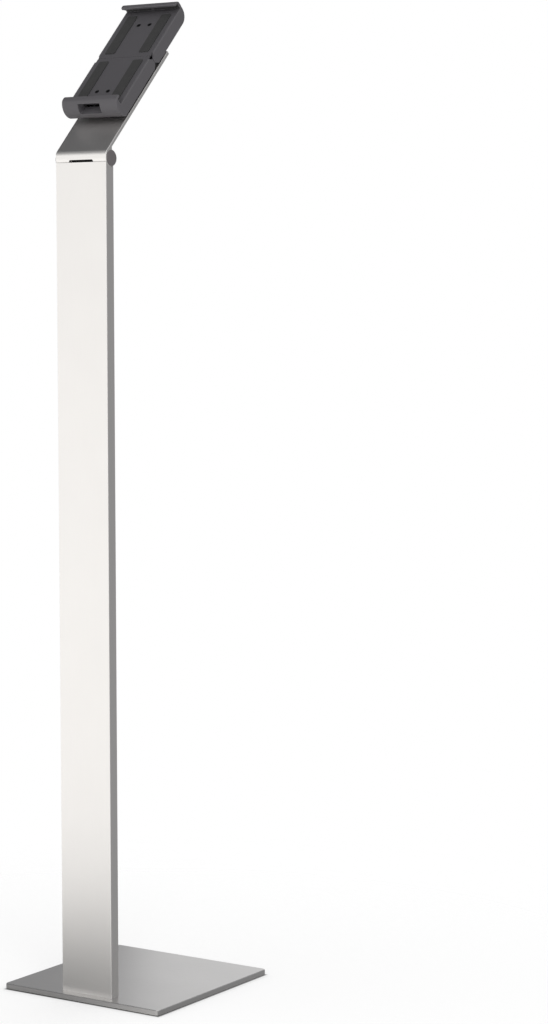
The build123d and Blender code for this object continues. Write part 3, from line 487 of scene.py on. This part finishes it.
def wind_spring():
    """Compression spring up the Z axis, its end turns closed and its wire cut square."""
    foot, top = rod_line(1)
    # the two end turns rise by one wire each, and the open turns share the rest of the length
    length = (top - foot).length - 2 * COIL_PLAY
    open_turns = COIL_TURNS - 2
    open_pitch = (length - 3 * COIL_WIRE) / open_turns
    bpy.ops.object.select_all(action="DESELECT")
    bpy.ops.mesh.primitive_circle_add(
        vertices=WIRE_SIDES, radius=COIL_WIRE / 2,
        location=(COIL_OUTER - COIL_WIRE / 2, 0, 0), rotation=(radians(90), 0, 0),
    )
    spring = bpy.context.object
    bpy.ops.object.transform_apply()
    winding = spring.modifiers.new("winding", "SCREW")
    winding.axis = "Z"
    winding.iterations = COIL_TURNS
    winding.screw_offset = COIL_WIRE
    winding.steps = winding.render_steps = TURN_STEPS
    winding.use_merge_vertices = False
    bpy.ops.object.modifier_apply(modifier=winding.name)
    for index, vertex in enumerate(spring.data.vertices):
        turn = index // WIRE_SIDES / TURN_STEPS
        opened = min(max(turn - 1, 0), open_turns)
        vertex.co.z += COIL_WIRE / 2 + opened * (open_pitch - COIL_WIRE)
    bpy.ops.object.mode_set(mode="EDIT")
    bpy.ops.mesh.select_all(action="SELECT")
    bpy.ops.mesh.fill_holes(sides=0)
    bpy.ops.mesh.normals_make_consistent(inside=False)
    bpy.ops.object.mode_set(mode="OBJECT")
    bpy.ops.object.shade_smooth_by_angle(angle=CUT_END_ANGLE)
    spring.data.materials.append(spring_steel)
    return spring


def fit_spring(spring, side):
    """Set a wound spring round the guide rod on one side, where the sliding jaw presses it."""
    foot, top = rod_line(side)
    along = Vector((0, sin(ARM_LEAN), cos(ARM_LEAN)))
    bpy.ops.object.select_all(action="DESELECT")
    spring.select_set(True)
    bpy.context.view_layer.objects.active = spring
    spring.rotation_euler = (-ARM_LEAN, 0, 0)
    spring.location = foot + COIL_PLAY * along
    bpy.ops.object.transform_apply()
    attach(spring, "holder")
    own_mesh(spring)


left_spring = wind_spring()
left_spring.name = "left_spring"
right_spring = left_spring.copy()
right_spring.name = "right_spring"
right_spring.data = left_spring.data.copy()
bpy.context.collection.objects.link(right_spring)
fit_spring(left_spring, -1)
fit_spring(right_spring, 1)
for spring in (left_spring, right_spring):
    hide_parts("closing_springs")


# Studio


def studio_sky():
    """White to the camera and through glass, even light for matt surfaces, screens in reflections."""
    world = bpy.data.worlds.new("studio_sky")
    bpy.context.scene.world = world
    sky = Nodes(world)
    ray = sky.add("ShaderNodeTexCoord", {}, {}, "Generated")
    height = sky.add("ShaderNodeSeparateXYZ", {}, {"Vector": ray}, "Z")
    front = sky.smooth(sky.closeness(ray, FRONT_DIRECTION), *FRONT_RIM) * sky.smooth(height, *FRONT_TOP_RIM)
    flag = sky.smooth(sky.closeness(ray, FLAG_DIRECTION), *FLAG_RIM)
    screens = sky.mix(sky.smooth(height, *OVERHEAD_RIM), DIM_SIDES, OVERHEAD_SCREEN)
    screens = sky.mix(sky.smooth(height, *GROUND_RIM), screens, GROUND_GREY)
    screens = sky.mix(flag, screens, BLACK_FLAG)
    screens = sky.mix(front, screens, FRONT_SCREEN)
    surround = sky.mix(sky.ray("Is Glossy Ray"), PLAIN_LIGHT, screens)
    colour = sky.mix(sky.straight_view(), surround, WHITE)
    light = sky.add("ShaderNodeBackground", {}, {"Color": colour})
    sky.add("ShaderNodeOutputWorld", {}, {"Surface": light})


def studio_floor():
    """Pale floor lifted to white for the camera, with a painted shadow at the plate and painted shade in
    reflections.
    """
    bpy.ops.object.select_all(action="DESELECT")
    bpy.ops.mesh.primitive_plane_add(size=2 * FLOOR_HALF)
    floor = bpy.context.object
    floor.name = "studio_floor"
    finish = Finish("pale_floor")
    x, y = finish.place("X"), finish.place("Y")
    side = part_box("base_plate")[1].x
    # painted shadow: at the plate's edge the camera sees the dark grey floor, not the lifted one
    outside_painted_shadow = finish.smooth(abs(x).larger(abs(y)), *(side + gap for gap in PAINTED_SHADOW_RIM))
    paint = finish.add("ShaderNodeBsdfDiffuse", {}, {"Color": FLOOR_COLOUR})
    lift = finish.add("ShaderNodeEmission", {}, {"Strength": FLOOR_LIFT})
    lifted = finish.add("ShaderNodeAddShader", {}, {0: paint, 1: lift})
    # painted shade: the dark grey floor that reflections and bounced light see
    painted_shade_floor = finish.add("ShaderNodeBsdfDiffuse", {}, {"Color": PAINTED_SHADE_GREY})
    seen = finish.straight_view()
    ground = finish.add("ShaderNodeMixShader", {}, {0: seen * outside_painted_shadow, 1: painted_shade_floor, 2: lifted})
    # the painted shade fades out with distance from its centre, and the floor the camera sees fades with
    # distance from the middle
    reach, shade_reach = [
        (dx * dx + dy * dy).root()
        for dx, dy in ((x, y), (x - PAINTED_SHADE_CENTRE[0], y - PAINTED_SHADE_CENTRE[1]))
    ]
    seen_fade = finish.smooth(reach, *FLOOR_FADE)
    shade_fade = finish.smooth(shade_reach, *PAINTED_SHADE_FADE)
    fade = seen * seen_fade + (1 - seen) * shade_fade
    clear = finish.add("ShaderNodeBsdfTransparent", {}, {})
    shader = finish.add("ShaderNodeMixShader", {}, {0: fade, 1: ground, 2: clear})
    finish.add("ShaderNodeOutputMaterial", {}, {"Surface": shader})
    floor.data.materials.append(finish.material)


def softbox(name, place, target, width, height, watts):
    """Rectangular area lamp that faces a target, out of the camera's sight."""
    lamp = bpy.data.lights.new(name, "AREA")
    lamp.shape = "RECTANGLE"
    lamp.size, lamp.size_y = width, height
    lamp.energy = watts
    lamp_object = bpy.data.objects.new(name, lamp)
    bpy.context.scene.collection.objects.link(lamp_object)
    aim = Vector(target) - Vector(place)
    lamp_object.matrix_world = Matrix.Translation(place) @ aim.to_track_quat("-Z", "Y").to_matrix().to_4x4()
    lamp_object.visible_camera = False


def photograph_camera():
    """Camera with the photograph's place, direction and field of view."""
    yaw, pitch, roll = radians(CAMERA_YAW), radians(CAMERA_PITCH), radians(CAMERA_ROLL)
    forward = Vector((sin(yaw) * cos(pitch), cos(yaw) * cos(pitch), -sin(pitch)))
    level = Vector((cos(yaw), -sin(yaw), 0))
    rise = level.cross(forward)
    right = cos(roll) * level + sin(roll) * rise
    up = cos(roll) * rise - sin(roll) * level
    data = bpy.data.cameras.new("photograph_camera")
    data.sensor_width = SENSOR
    data.lens = FOCAL_PIXELS * SENSOR / IMAGE_HEIGHT
    camera = bpy.data.objects.new("photograph_camera", data)
    bpy.context.scene.collection.objects.link(camera)
    turn = Matrix((right, up, -forward)).transposed().to_4x4()
    camera.matrix_world = Matrix.Translation(CAMERA_PLACE) @ turn
    bpy.context.scene.camera = camera


studio_sky()
studio_floor()
for lamp in LAMPS:
    softbox(*lamp)
photograph_camera()
bpy.context.scene.view_settings.view_transform = "Standard"
